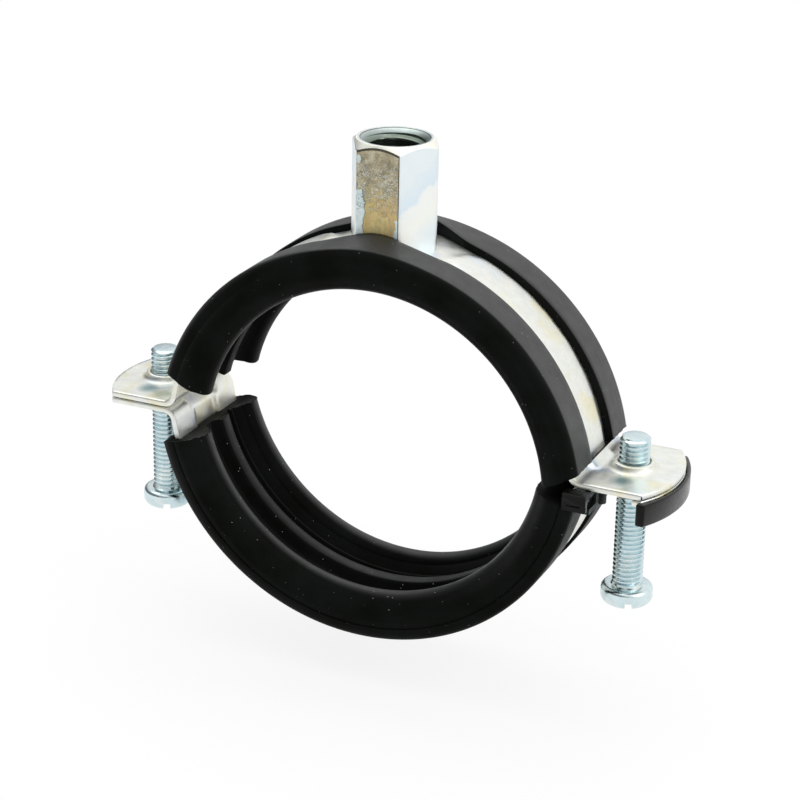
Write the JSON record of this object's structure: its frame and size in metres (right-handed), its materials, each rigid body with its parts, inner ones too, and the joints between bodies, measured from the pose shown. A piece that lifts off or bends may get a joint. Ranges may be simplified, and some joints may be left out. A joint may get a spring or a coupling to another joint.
{
  "type": "rubber lined pipe clamp",
  "caption": "Two-screw steel pipe clamp with a rubber lining, a hexagonal threaded boss on top for a hanger rod and a plastic quick-lock catch on one ear.",
  "frame": {"origin": "centre of the pipe seat: on the pipe axis, in the plane where the upper and lower ears meet, midway between the two screws", "axes": "+Z along the threaded boss, away from the pipe; +Y along the pipe, away from the open side of the catch; +X towards the ear with the catch"},
  "size_m": [0.1005, 0.0242, 0.0823],
  "materials": {
    "band_steel": "bright zinc plate, slightly yellow and blue",
    "boss_steel": "zinc plate with brown heat tint from welding",
    "screw_steel": "blue zinc plate",
    "lining_rubber": "matt black EPDM",
    "catch_plastic": "black moulded nylon"
  },
  "bodies": {
    "upper_half": {"upper_band": "band_steel", "connection_boss": "boss_steel", "upper_lining": "lining_rubber"},
    "left_screw": {"left_screw": "screw_steel"},
    "right_screw": {"right_screw": "screw_steel"},
    "lower_half": {"lower_band": "band_steel", "lower_lining": "lining_rubber", "screw_catch": "catch_plastic"}
  },
  "joints": [
    {"name": "lower_half_swing", "type": "hinge", "parent": "upper_half", "child": "left_screw", "pos_m": [-0.0422, 0, 0], "axis": [0, 0, 1], "range_deg": [0, 100]},
    {"name": "lower_half_drop", "type": "slide", "parent": "left_screw", "child": "lower_half", "axis": [0, 0, 1], "range_m": [-0.0085, 0]},
    {"name": "right_screw_travel", "type": "slide", "parent": "upper_half", "child": "right_screw", "axis": [0, 0, 1], "range_m": [-0.003, 0.005]}
  ]
}
